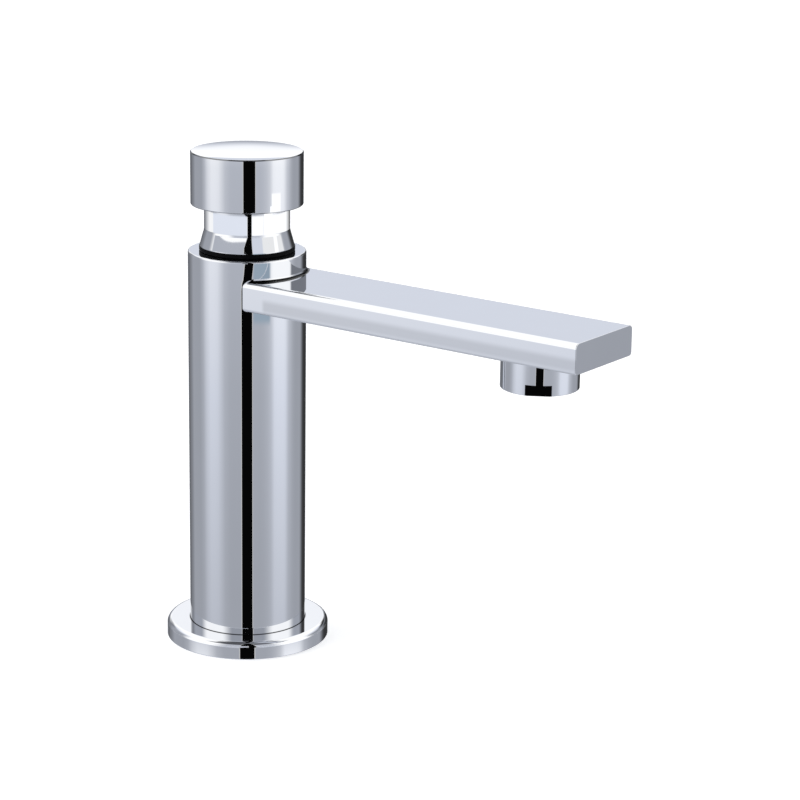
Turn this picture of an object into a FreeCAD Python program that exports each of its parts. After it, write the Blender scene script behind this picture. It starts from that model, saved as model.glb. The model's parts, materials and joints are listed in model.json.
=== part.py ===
"""Self-closing push-button basin tap: a chrome column on a round flange, a flat bar spout with
an aerator, and a sprung button on a flared neck. Millimetres, +Z up, spout along +X.
The origin is the centre of the flange's underside, on the column's axis."""
import FreeCAD, Part
import math
import os

Vec = FreeCAD.Vector

# Clearances between pieces
thread_gap = 0.05
seat_gap = 0.10
slide_gap = 0.10
stem_gap = 0.05
skirt_gap = 0.30

# How far cutting tools run past the faces they cut
overcut = 1.0

# How closely an edge's middle has to match a level to be picked
match_tolerance = 0.01

# Sides of the round sections of sealing rings and of the spring's wire
section_sides = 6

# Flange and the plug that clamps it to the column
flange_radius = 29.4
flange_height = 6.3
flange_edge_round = 2.0
flange_foot_chamfer = 0.3
foot_recess_depth = 2.1
gasket_rim = 2.4
gasket_width = 3.4
gasket_thickness = 1.2
plug_head_radius = 20.2
plug_head_height = 2.4
plug_shank_height = 13.4
plug_bore_radius = 7.0
inlet_thread_radius = 9.32
inlet_thread_length = 12.0
spanner_hole_radius = 2.1
spanner_hole_depth = 1.5
spanner_hole_circle = 14.6
plug_seal_wire = 1.9
plug_seal_drop = 3.4
strainer_rim_radius = 9.6
strainer_rim_height = 1.0
strainer_cup_radius = 6.4
strainer_cup_height = 6.0
strainer_wall = 0.5
strainer_slots = 8
strainer_slot_width = 1.2

# Column
body_radius = 21.0
body_wall = 3.5
column_height = 137.3
column_rim_round = 0.6
chamber_shoulder = 0.65
chamber_floor_drop = 28.6
seat_web_height = 7.0
cavity_cone_height = 4.0
seat_hole_radius = 8.0

# Spout
spout_width = 34.4
spout_thickness = 10.4
spout_nose = 24.4
spout_top_drop = 7.2
spout_top_round = 1.8
spout_bottom_round = 1.2
waterway_width = 24.0
waterway_height = 2.6
tenon_wall = 1.1

# Aerator
aerator_reach = 124.6
aerator_collar_radius = 13.2
aerator_collar_height = 11.2
aerator_shoulder = 1.2
aerator_thread_length = 3.5
aerator_neck_wall = 1.4
aerator_lip_height = 1.4
aerator_lip_width = 0.9
aerator_edge_round = 0.3
wrench_flat_width = 8.8
wrench_flat_height = 3.7
wrench_flat_turn = 31.0
aerator_gasket_thickness = 1.3
aerator_gasket_width = 2.8
aerator_ledge = 0.8
screen_height = 2.6
screen_hole = 1.7
screen_pitch = 2.5
jet_plate_height = 3.6
jet_count = 6
jet_radius = 0.7
jet_circle = 7.4
jet_chamber_depth = 2.2
regulator_height = 3.2
regulator_hub_radius = 4.2
regulator_ports = 6
regulator_port_radius = 0.8
regulator_port_circle = 6.6

# Valve seat and cartridge sleeve
seat_bore_radius = 5.0
seat_flange_gap = 0.4
seat_flange_height = 1.6
seat_rim_radius = 6.8
seat_rim_height = 1.6
seat_gasket_thickness = 0.8
sleeve_bore_radius = 10.8
sleeve_wall = 1.5
sleeve_height = 32.2
sleeve_windows = 6
window_width = 6.6
window_sill = 3.5
window_land = 0.8
gland_ledge = 0.6
gland_height = 3.6
sleeve_seal_wire = 1.6

# Bonnet, its ring, bush and seal
bonnet_groove_wall = 1.1
bonnet_tenon_gap = 0.45
ring_width = 1.95
ring_height = 1.7
ring_edge_bevel = 0.4
ring_reveal = 0.2
flare_height = 7.0
flare_lip_height = 0.3
flare_hollow = 0.44
neck_radius = 15.2
neck_top_gap = 0.6
neck_wall = 2.6
neck_rim_chamfer = 0.5
bonnet_web_height = 3.2
bush_radius = 5.0
bush_spring_gap = 2.2
bush_flange_height = 1.2
seal_width = 2.3
seal_height = 2.2
metering_pin_radius = 0.5
metering_hole_radius = 0.65
metering_pin_tail = 0.5

# Button and what moves with it
stroke = 8.0
button_height = 19.0
button_lift = 16.6
button_wall = 1.95
button_roof = 2.4
button_top_bevel = 0.35
button_foot_round = 0.9
button_boss_radius = 5.0
stem_socket_roof = 1.2
liner_wall = 2.45
liner_foot_inset = 0.6
liner_disc_height = 2.8
stem_radius = 3.0
locknut_spring_gap = 1.2
locknut_flange_height = 1.2
locknut_across_flats = 10.0
locknut_hex_height = 3.3
piston_gap = 0.4
piston_height = 5.0
piston_top_drop = 2.0
cup_height = 2.8
cup_width = 2.6
cup_lip_width = 0.9
cup_floor = 0.9
keeper_gap = 0.4
keeper_height = 0.8
circlip_radius = 4.8
circlip_height = 0.7
circlip_gap_angle = 50.0
washer_radius = 7.8
washer_height = 3.0
valve_cup_wall = 0.9
valve_cup_floor = 1.5
valve_cup_height = 3.4
washer_nut_across_flats = 8.0
washer_nut_height = 3.4
stem_tail = 1.0

# Return spring
spring_side_gap = 1.4
spring_wire = 1.6
spring_turns = 5.0
spring_top_gap = 0.05

# Radii that follow from the sizes above
gasket_inner_radius = flange_radius - gasket_rim - gasket_width
cavity_radius = body_radius - body_wall
plug_shank_radius = cavity_radius - thread_gap
aerator_thread_radius = aerator_collar_radius - aerator_shoulder
aerator_bore_radius = aerator_thread_radius - aerator_neck_wall
sleeve_radius = sleeve_bore_radius + sleeve_wall
seat_flange_radius = sleeve_bore_radius - seat_flange_gap
gland_radius = sleeve_bore_radius + gland_ledge
groove_radius = sleeve_radius + sleeve_seal_wire
bonnet_thread_radius = groove_radius + bonnet_groove_wall
chamber_radius = bonnet_thread_radius + thread_gap - chamber_shoulder
ring_radius = bonnet_thread_radius + thread_gap + ring_width
flare_radius = ring_radius - ring_reveal
stem_hole_radius = stem_radius + stem_gap
seal_radius = stem_radius + seal_width
piston_radius = sleeve_bore_radius - piston_gap
cup_lip_radius = sleeve_bore_radius - slide_gap
cup_inner_radius = cup_lip_radius - cup_width
keeper_radius = cup_lip_radius - cup_lip_width - keeper_gap
metering_circle = (seal_radius + cup_inner_radius) / 2.0
spring_bore_radius = neck_radius - neck_wall
spring_mean_radius = spring_bore_radius - spring_side_gap - spring_wire / 2.0
spring_inner_radius = spring_mean_radius - spring_wire / 2.0
bush_flange_radius = spring_inner_radius - bush_spring_gap
locknut_flange_radius = spring_inner_radius - locknut_spring_gap
liner_bore_radius = neck_radius + skirt_gap
liner_radius = liner_bore_radius + liner_wall
button_bore_radius = liner_radius + thread_gap
button_radius = button_bore_radius + button_wall

# Levels that follow from the sizes above
foot_z = flange_height - foot_recess_depth
column_top_z = flange_height + column_height
chamber_floor_z = column_top_z - chamber_floor_drop
web_underside_z = chamber_floor_z - seat_web_height
plug_top_z = plug_head_height + plug_shank_height
strainer_seat_z = plug_top_z - strainer_rim_height

spout_end_reach = aerator_reach + spout_nose
spout_top_z = column_top_z - spout_top_drop
spout_under_z = spout_top_z - spout_thickness
aerator_foot_z = spout_under_z - aerator_collar_height
aerator_neck_z = spout_under_z + aerator_thread_length
gasket_top_z = aerator_neck_z + aerator_gasket_thickness
waterway_floor_z = gasket_top_z + aerator_ledge
waterway_top_z = waterway_floor_z + waterway_height
tenon_top_z = waterway_top_z + tenon_wall

ring_top_z = column_top_z + ring_height
bonnet_foot_z = tenon_top_z + thread_gap + bonnet_tenon_gap
sleeve_top_z = chamber_floor_z + sleeve_height
web_top_z = sleeve_top_z + bonnet_web_height
gland_foot_z = sleeve_top_z - gland_height

button_foot_z = column_top_z + button_lift
button_top_z = button_foot_z + button_height
button_ceiling_z = button_top_z - button_roof
liner_disc_z = button_ceiling_z - liner_disc_height
neck_top_z = liner_disc_z - stroke - neck_top_gap
seat_rim_z = web_underside_z - seat_rim_height
washer_foot_z = seat_rim_z - washer_height
valve_cup_foot_z = washer_foot_z - valve_cup_floor
washer_nut_foot_z = valve_cup_foot_z - washer_nut_height
stem_foot_z = washer_nut_foot_z - stem_tail
stem_top_z = button_top_z - stem_socket_roof
piston_top_z = gland_foot_z - piston_top_drop
piston_foot_z = piston_top_z - piston_height
cup_foot_z = piston_top_z - cup_height


def cylinder(radius, low, high, x=0.0, y=0.0):
    """Upright solid cylinder between two levels."""
    return Part.makeCylinder(radius, high - low, Vec(x, y, low))


def ring(outer, inner, low, high, x=0.0, y=0.0):
    """Upright ring between two levels."""
    bore = cylinder(inner, low - overcut, high + overcut, x, y)
    return cylinder(outer, low, high, x, y).cut(bore)


def revolve(points, x=0.0):
    """Solid of revolution about an upright axis at x, from (radius, level) points. A point with a
    third value is the middle of an arc between its two neighbours."""
    edges = []
    place = [Vec(x + p[0], 0, p[1]) for p in points]
    count = len(points)
    index = 0
    while index < count:
        after = (index + 1) % count
        if len(points[after]) == 3:
            end = (index + 2) % count
            edges.append(Part.Arc(place[index], place[after], place[end]).toShape())
            index += 2
        else:
            edges.append(Part.LineSegment(place[index], place[after]).toShape())
            index += 1
    face = Part.Face(Part.Wire(edges))
    return face.revolve(Vec(x, 0, 0), Vec(0, 0, 1), 360)


def corner(centre_radius, centre_level, size, angle):
    """Middle point of a quarter round: its centre, its radius and the direction of its middle."""
    turn = math.radians(angle)
    out = centre_radius + size * math.cos(turn)
    return (out, centre_level + size * math.sin(turn), "arc")


def copies_around(shape, count, x=0.0, start=0.0):
    """Copies of a shape turned in equal steps about an upright axis at x."""
    turned = []
    for step in range(count):
        copy = shape.copy()
        copy.rotate(Vec(x, 0, 0), Vec(0, 0, 1), start + 360.0 * step / count)
        turned.append(copy)
    return turned


def hexagon(across_flats, low, high):
    """Upright hexagonal prism."""
    reach = across_flats / 2.0 / math.cos(math.pi / 6.0)
    corners = [Vec(reach * math.cos(math.pi * k / 3.0), reach * math.sin(math.pi * k / 3.0), low)
               for k in range(6)]
    face = Part.Face(Part.makePolygon(corners + corners[:1]))
    return face.extrude(Vec(0, 0, high - low))


def sealing_ring(mean_radius, wire, level):
    """Sealing ring lying flat at a level. Its section is a polygon inside the round wire, with
    flats inside and outside."""
    section = []
    for step in range(section_sides):
        turn = 2.0 * math.pi * (step + 0.5) / section_sides
        section.append((mean_radius + wire / 2.0 * math.cos(turn), level + wire / 2.0 * math.sin(turn)))
    return revolve(section)


def slot_prism(width, height, low_x, high_x, low_z):
    """Horizontal bar along X with fully rounded narrow sides, centred on Y."""
    half = height / 2.0
    flat = width / 2.0 - half
    bar = Part.makeBox(high_x - low_x, 2.0 * flat, height, Vec(low_x, -flat, low_z))
    for side in (-flat, flat):
        edge = Part.makeCylinder(half, high_x - low_x, Vec(low_x, side, low_z + half), Vec(1, 0, 0))
        bar = bar.fuse(edge)
    return bar.removeSplitter()


def base_flange():
    """Round foot: a recess on top registers the column, a counterbore below takes the plug's head
    and a groove near the rim takes the deck gasket."""
    bore = plug_shank_radius + seat_gap
    edge = flange_edge_round
    round_centre = (flange_radius - edge, flange_height - edge)
    recess = body_radius + seat_gap
    head_bore = plug_head_radius + seat_gap
    body = revolve([
        (bore, plug_head_height),
        (head_bore, plug_head_height),
        (head_bore, 0.0),
        (flange_radius - flange_foot_chamfer, 0.0),
        (flange_radius, flange_foot_chamfer),
        (flange_radius, round_centre[1]),
        corner(round_centre[0], round_centre[1], edge, 45.0),
        (round_centre[0], flange_height),
        (recess, flange_height),
        (recess, foot_z),
        (bore, foot_z),
    ])
    groove = ring(gasket_inner_radius + gasket_width + seat_gap, gasket_inner_radius - seat_gap,
                  -overcut, gasket_thickness)
    return body.cut(groove)


def deck_gasket():
    """Flat rubber ring in the flange's underside, level with it."""
    return ring(gasket_inner_radius + gasket_width, gasket_inner_radius, 0.0, gasket_thickness)


def plug_seal_level():
    """Level of the sealing ring's centre on the plug."""
    return plug_top_z - plug_seal_drop


def base_plug():
    """Threaded plug that closes the column and clamps the flange, with the inlet socket."""
    groove_half = plug_seal_wire / 2.0 + thread_gap
    groove_floor = plug_shank_radius - plug_seal_wire
    seal_z = plug_seal_level()
    plug = revolve([
        (inlet_thread_radius, 0.0),
        (plug_head_radius, 0.0),
        (plug_head_radius, plug_head_height),
        (plug_shank_radius, plug_head_height),
        (plug_shank_radius, seal_z - groove_half),
        (groove_floor, seal_z - groove_half),
        (groove_floor, seal_z + groove_half),
        (plug_shank_radius, seal_z + groove_half),
        (plug_shank_radius, plug_top_z),
        (strainer_rim_radius + thread_gap, plug_top_z),
        (strainer_rim_radius + thread_gap, strainer_seat_z),
        (plug_bore_radius, strainer_seat_z),
        (plug_bore_radius, inlet_thread_length),
        (inlet_thread_radius, inlet_thread_length),
    ])
    for side in (-1, 1):
        hole = cylinder(spanner_hole_radius, -overcut, spanner_hole_depth, 0.0, side * spanner_hole_circle)
        plug = plug.cut(hole)
    return plug


def plug_seal():
    """Round-section ring between the plug and the column's bore."""
    mean = cavity_radius - plug_seal_wire / 2.0
    return sealing_ring(mean, plug_seal_wire, plug_seal_level())


def inlet_strainer():
    """Hat-shaped strainer on the plug, its brim in a seat and its crown slotted."""
    crown_z = plug_top_z + strainer_cup_height
    inner = strainer_cup_radius - strainer_wall
    hat = revolve([
        (0.0, crown_z - strainer_wall),
        (inner, crown_z - strainer_wall),
        (inner, strainer_seat_z),
        (strainer_rim_radius, strainer_seat_z),
        (strainer_rim_radius, plug_top_z),
        (strainer_cup_radius, plug_top_z),
        (strainer_cup_radius, crown_z),
        (0.0, crown_z),
    ])
    slot_low = plug_top_z + strainer_wall
    slot_high = crown_z - 2.0 * strainer_wall
    slot = Part.makeBox(strainer_cup_radius, strainer_slot_width, slot_high - slot_low,
                        Vec(inner - strainer_wall, -strainer_slot_width / 2.0, slot_low))
    return hat.cut(copies_around(slot, strainer_slots))


def tenon_size():
    """Outer width and height of the spout's tenon."""
    return waterway_width + 2.0 * tenon_wall, waterway_height + 2.0 * tenon_wall


def body_column():
    """Column: a tube with a web that carries the valve seat, a chamber above it, a thread for the
    bonnet and a side window for the spout's tenon."""
    rim = column_rim_round
    thread_bore = bonnet_thread_radius + thread_gap
    body = revolve([
        (cavity_radius, foot_z),
        (body_radius, foot_z),
        (body_radius, column_top_z - rim),
        corner(body_radius - rim, column_top_z - rim, rim, 45.0),
        (body_radius - rim, column_top_z),
        (thread_bore, column_top_z),
        (thread_bore, bonnet_foot_z),
        (chamber_radius, bonnet_foot_z),
        (chamber_radius, chamber_floor_z),
        (seat_hole_radius, chamber_floor_z),
        (seat_hole_radius, web_underside_z),
        (cavity_radius - cavity_cone_height, web_underside_z),
        (cavity_radius, web_underside_z - cavity_cone_height),
    ])
    width, height = tenon_size()
    window = slot_prism(width + 2.0 * thread_gap, height + 2.0 * thread_gap, 0.0, body_radius + overcut,
                        waterway_floor_z - tenon_wall - thread_gap)
    return body.cut(window)


def spout():
    """Flat bar spout with softened long edges, cut to the column's round, hollow from its tenon to
    the aerator's threaded pocket."""
    half = spout_width / 2.0
    bar = Part.makeBox(spout_end_reach, spout_width, spout_thickness, Vec(0, -half, spout_under_z))
    for level, size in ((spout_top_z, spout_top_round), (spout_under_z, spout_bottom_round)):
        long_edges = [edge for edge in bar.Edges
                      if abs(edge.CenterOfMass.z - level) < match_tolerance
                      and abs(abs(edge.CenterOfMass.y) - half) < match_tolerance]
        bar = bar.makeFillet(size, long_edges)
    bar = bar.cut(cylinder(body_radius, spout_under_z - overcut, spout_top_z + overcut))
    width, height = tenon_size()
    tenon_reach = chamber_radius + thread_gap
    tenon = slot_prism(width, height, 0.0, body_radius + spout_thickness, waterway_floor_z - tenon_wall)
    tenon = tenon.cut(cylinder(tenon_reach, spout_under_z, spout_top_z))
    solid = bar.fuse(tenon)
    channel_end = aerator_reach + aerator_bore_radius
    channel = slot_prism(waterway_width, waterway_height, 0.0, channel_end, waterway_floor_z)
    pocket = cylinder(aerator_thread_radius + thread_gap, spout_under_z - overcut, gasket_top_z,
                      aerator_reach)
    gasket_hole = aerator_thread_radius - aerator_gasket_width
    port = cylinder(gasket_hole, spout_under_z, waterway_floor_z + waterway_height / 2.0, aerator_reach)
    return solid.cut([channel, pocket, port]).removeSplitter()


def aerator_housing():
    """Chrome collar with a threaded neck, an inner lip at its mouth and two spanner flats."""
    x = aerator_reach
    foot = aerator_foot_z
    edge = aerator_edge_round
    lip_radius = aerator_bore_radius - aerator_lip_width
    body = revolve([
        (lip_radius, foot),
        (aerator_collar_radius - edge, foot),
        (aerator_collar_radius, foot + edge),
        (aerator_collar_radius, spout_under_z),
        (aerator_thread_radius, spout_under_z),
        (aerator_thread_radius, aerator_neck_z),
        (aerator_bore_radius, aerator_neck_z),
        (aerator_bore_radius, foot + aerator_lip_height),
        (lip_radius, foot + aerator_lip_height),
    ], x)
    flat_reach = math.sqrt(aerator_collar_radius ** 2 - (wrench_flat_width / 2.0) ** 2)
    cutter = Part.makeBox(4.0 * wrench_flat_width, wrench_flat_width, wrench_flat_height + overcut,
                          Vec(x - 2.0 * wrench_flat_width, -flat_reach - wrench_flat_width, foot - overcut))
    return body.cut(copies_around(cutter, 2, x, wrench_flat_turn))


def aerator_gasket():
    """Rubber ring between the housing's neck and the pocket's ledge."""
    outer = aerator_thread_radius - thread_gap
    return ring(outer, outer - aerator_gasket_width, aerator_neck_z, gasket_top_z, aerator_reach)


def screen_levels():
    """Levels between the stacked inserts of the aerator, from the lip upwards."""
    screen_low = aerator_foot_z + aerator_lip_height
    screen_high = screen_low + screen_height
    jets_high = screen_high + jet_plate_height
    return screen_low, screen_high, jets_high, jets_high + regulator_height


def aerator_screen():
    """Outlet grid: a disc with square holes that straighten the stream."""
    low, high = screen_levels()[:2]
    outer = aerator_bore_radius - seat_gap
    disc = cylinder(outer, low, high, aerator_reach)
    reach = int(outer / screen_pitch)
    inside = outer - screen_hole
    holes = []
    for column in range(-reach, reach + 1):
        for row in range(-reach, reach + 1):
            x = column * screen_pitch
            y = row * screen_pitch
            if math.hypot(x, y) + screen_hole / 2.0 < inside:
                holes.append(Part.makeBox(screen_hole, screen_hole, screen_height + 2.0 * overcut,
                                          Vec(aerator_reach + x - screen_hole / 2.0,
                                              y - screen_hole / 2.0, low - overcut)))
    return disc.cut(holes)


def aerator_jet_plate():
    """Plate with a ring of jets over a mixing chamber that is open towards the screen."""
    low, high = screen_levels()[1:3]
    outer = aerator_bore_radius - seat_gap
    plate = cylinder(outer, low, high, aerator_reach)
    chamber = cylinder(outer - aerator_lip_width, low - overcut, low + jet_chamber_depth, aerator_reach)
    jet = cylinder(jet_radius, low, high + overcut, aerator_reach + jet_circle)
    return plate.cut([chamber] + copies_around(jet, jet_count, aerator_reach))


def aerator_regulator():
    """Flow regulator: a disc with ports around a hub that stands up into the neck."""
    low, high = screen_levels()[2:4]
    outer = aerator_bore_radius - seat_gap
    floor = low + regulator_height / 2.0
    disc = cylinder(outer, low, floor, aerator_reach)
    hub = cylinder(regulator_hub_radius, low, high, aerator_reach)
    port = cylinder(regulator_port_radius, low - overcut, high + overcut,
                    aerator_reach + regulator_port_circle)
    return disc.fuse(hub).cut(copies_around(port, regulator_ports, aerator_reach))


def valve_seat():
    """Seat bushing screwed down into the web, with a raised sealing rim below it."""
    shank = seat_hole_radius - thread_gap
    flange_low = chamber_floor_z + seat_gasket_thickness
    return revolve([
        (seat_bore_radius, seat_rim_z),
        (seat_rim_radius, seat_rim_z),
        (seat_rim_radius, web_underside_z),
        (shank, web_underside_z),
        (shank, flange_low),
        (seat_flange_radius, flange_low),
        (seat_flange_radius, flange_low + seat_flange_height),
        (seat_bore_radius, flange_low + seat_flange_height),
    ])


def seat_gasket():
    """Fibre ring under the seat bushing's flange."""
    return ring(seat_flange_radius, seat_hole_radius, chamber_floor_z,
                chamber_floor_z + seat_gasket_thickness)


def sleeve_seal_level():
    """Level of the sealing ring's centre around the sleeve."""
    return bonnet_foot_z + sleeve_seal_wire * 2.0


def cartridge_sleeve():
    """Sleeve that stands on the web: outlet windows round its foot, the timing cylinder above them
    and a ledge at the top for the gland."""
    top = sleeve_top_z
    body = revolve([
        (sleeve_bore_radius, chamber_floor_z),
        (sleeve_radius, chamber_floor_z),
        (sleeve_radius, top),
        (gland_radius, top),
        (gland_radius, gland_foot_z),
        (sleeve_bore_radius, gland_foot_z),
    ])
    sill = chamber_floor_z + window_sill
    head = cup_foot_z - stroke - window_land
    window = Part.makeBox(sleeve_radius, window_width, head - sill,
                          Vec(sleeve_bore_radius / 2.0, -window_width / 2.0, sill))
    return body.cut(copies_around(window, sleeve_windows, 0.0, 180.0 / sleeve_windows))


def sleeve_seal():
    """Round-section ring between the sleeve and the bonnet."""
    mean = sleeve_radius + sleeve_seal_wire / 2.0
    return sealing_ring(mean, sleeve_seal_wire, sleeve_seal_level())


def bonnet():
    """Chrome neck: a thread below, a flare over the ring, a straight guide for the button and a web
    inside that carries the stem's bush."""
    sleeve_bore = sleeve_radius + thread_gap
    groove_half = sleeve_seal_wire / 2.0
    seal_z = sleeve_seal_level()
    lip_z = ring_top_z + flare_lip_height
    flare_top_z = ring_top_z + flare_height
    waist = (flare_radius - neck_radius) * flare_hollow
    flare_middle = (neck_radius + waist, (lip_z + flare_top_z) / 2.0, "arc")
    return revolve([
        (sleeve_bore, bonnet_foot_z),
        (bonnet_thread_radius, bonnet_foot_z),
        (bonnet_thread_radius, ring_top_z),
        (flare_radius, ring_top_z),
        (flare_radius, lip_z),
        flare_middle,
        (neck_radius, flare_top_z),
        (neck_radius, neck_top_z - neck_rim_chamfer),
        (neck_radius - neck_rim_chamfer, neck_top_z),
        (spring_bore_radius, neck_top_z),
        (spring_bore_radius, web_top_z),
        (bush_radius, web_top_z),
        (bush_radius, sleeve_top_z),
        (sleeve_bore, sleeve_top_z),
        (sleeve_bore, seal_z + groove_half),
        (groove_radius, seal_z + groove_half),
        (groove_radius, seal_z - groove_half),
        (sleeve_bore, seal_z - groove_half),
    ])


def bonnet_ring():
    """Black rubber ring pinched between the bonnet's flare and the column's rim."""
    inner = bonnet_thread_radius + thread_gap
    return revolve([
        (inner, column_top_z),
        (ring_radius - ring_edge_bevel, column_top_z),
        (ring_radius, column_top_z + ring_edge_bevel),
        (ring_radius, ring_top_z),
        (inner, ring_top_z),
    ])


def guide_bush():
    """Plastic bush that guides the stem, its flange on the bonnet's web."""
    shank = bush_radius - thread_gap
    return revolve([
        (stem_hole_radius, sleeve_top_z),
        (shank, sleeve_top_z),
        (shank, web_top_z),
        (bush_flange_radius, web_top_z),
        (bush_flange_radius, web_top_z + bush_flange_height),
        (stem_hole_radius, web_top_z + bush_flange_height),
    ])


def stem_gland():
    """Disc that closes the timing cylinder and holds the stem's seal and the metering pin."""
    outer = gland_radius - thread_gap
    seal_floor = sleeve_top_z - seal_height
    body = revolve([
        (stem_hole_radius, gland_foot_z),
        (outer, gland_foot_z),
        (outer, sleeve_top_z),
        (seal_radius + thread_gap, sleeve_top_z),
        (seal_radius + thread_gap, seal_floor),
        (stem_hole_radius, seal_floor),
    ])
    return body.cut(cylinder(metering_pin_radius + thread_gap, gland_foot_z - overcut, sleeve_top_z + overcut,
                             metering_circle))


def metering_pin():
    """Thin pin that hangs from the gland through the piston's bleed hole."""
    foot = piston_foot_z - stroke - metering_pin_tail
    return cylinder(metering_pin_radius, foot, sleeve_top_z, metering_circle)


def stem_seal():
    """Rubber ring round the stem, in the gland."""
    return ring(seal_radius, stem_hole_radius, sleeve_top_z - seal_height, sleeve_top_z)


def two_arcs(start, start_way, end, end_way):
    """Two arcs that leave the start and reach the end along the given unit directions and meet
    smoothly halfway."""
    span = end - start
    turn = start_way + end_way
    spread = 2.0 * (1.0 - start_way.dot(end_way))
    along = span.dot(turn)
    reach = (math.sqrt(along * along + spread * span.dot(span)) - along) / spread
    first = start + start_way * reach
    last = end - end_way * reach
    joint = (first + last) * 0.5
    edges = []
    for near, bend, far in ((start, first, joint), (joint, last, end)):
        weight = (far - near).Length / (2.0 * (bend - near).Length)
        middle = ((near + far) * 0.5 + bend * weight) * (1.0 / (1.0 + weight))
        edges.append(Part.Arc(near, middle, far).toShape())
    return edges


def return_spring():
    """Compression spring with ground ends, between the bonnet's web and the button's liner: a
    helix of half turns, each of two arcs, cut flat where it bears. The wire is a polygon."""
    low = web_top_z
    high = liner_disc_z - spring_top_gap
    pitch = (high - low) / spring_turns
    half_turns = 2 * (round(spring_turns) + 1)
    bottom = (low + high) / 2.0 - pitch * half_turns / 4.0
    slope = math.atan(pitch / (2.0 * math.pi * spring_mean_radius))
    places = []
    ways = []
    for step in range(half_turns + 1):
        turn = math.pi * step
        places.append(Vec(spring_mean_radius * math.cos(turn), spring_mean_radius * math.sin(turn),
                          bottom + pitch * step / 2.0))
        ways.append(Vec(-math.sin(turn) * math.cos(slope), math.cos(turn) * math.cos(slope),
                        math.sin(slope)))
    edges = []
    for step in range(half_turns):
        edges += two_arcs(places[step], ways[step], places[step + 1], ways[step + 1])
    aside = Vec(1, 0, 0)
    across = ways[0].cross(aside)
    section = []
    for step in range(section_sides + 1):
        turn = 2.0 * math.pi * (step + 0.5) / section_sides
        section.append(places[0] + (aside * math.cos(turn) + across * math.sin(turn)) * (spring_wire / 2.0))
    coil = Part.Wire(edges).makePipeShell([Part.makePolygon(section)], True, False)
    reach = spring_mean_radius + spring_wire
    return coil.common(cylinder(reach, low, high))


def button_cap():
    """Push button: a chrome cup with a threaded boss under its roof."""
    top_bevel = button_top_bevel
    foot_round = button_foot_round
    boss_foot = liner_disc_z
    return revolve([
        (0.0, stem_top_z),
        (stem_radius, stem_top_z),
        (stem_radius, boss_foot),
        (button_boss_radius, boss_foot),
        (button_boss_radius, button_ceiling_z),
        (button_bore_radius, button_ceiling_z),
        (button_bore_radius, button_foot_z),
        (button_radius - foot_round, button_foot_z),
        corner(button_radius - foot_round, button_foot_z + foot_round, foot_round, -45.0),
        (button_radius, button_foot_z + foot_round),
        (button_radius, button_top_z - top_bevel),
        (button_radius - top_bevel, button_top_z),
        (0.0, button_top_z),
    ])


def button_liner():
    """Plastic liner in the button: a skirt that slides over the neck and a disc for the spring."""
    foot = button_foot_z + liner_foot_inset
    hole = button_boss_radius + thread_gap
    return revolve([
        (hole, liner_disc_z),
        (liner_bore_radius, liner_disc_z),
        (liner_bore_radius, foot),
        (liner_radius, foot),
        (liner_radius, button_ceiling_z),
        (hole, button_ceiling_z),
    ])


def stem():
    """Stem from the button to below the valve washer."""
    return cylinder(stem_radius, stem_foot_z, stem_top_z)


def stem_locknut():
    """Flanged nut that locks the stem in the button and holds the liner up."""
    hex_foot = liner_disc_z - locknut_flange_height - locknut_hex_height
    flange = cylinder(locknut_flange_radius, liner_disc_z - locknut_flange_height, liner_disc_z)
    prism = hexagon(locknut_across_flats, hex_foot, liner_disc_z - locknut_flange_height)
    return flange.fuse(prism).cut(cylinder(stem_radius, hex_foot - overcut, liner_disc_z + overcut))


def piston():
    """Piston with a rebate for its cup seal and a bleed hole round the metering pin."""
    rebate = cup_inner_radius - thread_gap
    body = revolve([
        (stem_radius, piston_foot_z),
        (piston_radius, piston_foot_z),
        (piston_radius, cup_foot_z),
        (rebate, cup_foot_z),
        (rebate, piston_top_z),
        (stem_radius, piston_top_z),
    ])
    return body.cut(cylinder(metering_hole_radius, piston_foot_z - overcut, piston_top_z + overcut,
                             metering_circle))


def piston_cup_seal():
    """Cup seal whose lip faces the timing chamber: it holds on the way up, and lets by on the way
    down."""
    low = cup_foot_z
    lip_inner = cup_lip_radius - cup_lip_width
    floor = low + cup_floor
    return revolve([
        (cup_inner_radius, low),
        (cup_lip_radius, low),
        (cup_lip_radius, piston_top_z),
        (lip_inner, piston_top_z),
        (lip_inner, floor),
        (cup_inner_radius + cup_lip_width, floor),
        (cup_inner_radius + cup_lip_width, piston_top_z),
        (cup_inner_radius, piston_top_z),
    ])


def piston_keeper():
    """Washer over the piston that keeps the cup seal on it."""
    body = ring(keeper_radius, stem_radius, piston_top_z, piston_top_z + keeper_height)
    return body.cut(cylinder(2.0 * metering_hole_radius, piston_top_z - overcut,
                             piston_top_z + keeper_height + overcut, metering_circle))


def piston_circlip():
    """Open snap ring on the stem over the keeper."""
    low = piston_top_z + keeper_height
    clip = ring(circlip_radius, stem_radius, low, low + circlip_height)
    half = math.radians(circlip_gap_angle / 2.0)
    far = 2.0 * circlip_radius
    mouth = Part.makePolygon([Vec(0, 0, low), Vec(-far * math.cos(half), far * math.sin(half), low),
                              Vec(-far * math.cos(half), -far * math.sin(half), low), Vec(0, 0, low)])
    return clip.cut(Part.Face(mouth).extrude(Vec(0, 0, circlip_height)))


def valve_washer():
    """Rubber washer that closes against the seat's rim from below."""
    return ring(washer_radius, stem_radius, washer_foot_z, seat_rim_z)


def valve_cup():
    """Brass cup that holds the rubber washer."""
    outer = washer_radius + valve_cup_wall
    return revolve([
        (stem_radius, valve_cup_foot_z),
        (outer, valve_cup_foot_z),
        (outer, valve_cup_foot_z + valve_cup_height),
        (washer_radius + thread_gap, valve_cup_foot_z + valve_cup_height),
        (washer_radius + thread_gap, washer_foot_z),
        (stem_radius, washer_foot_z),
    ])


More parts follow.
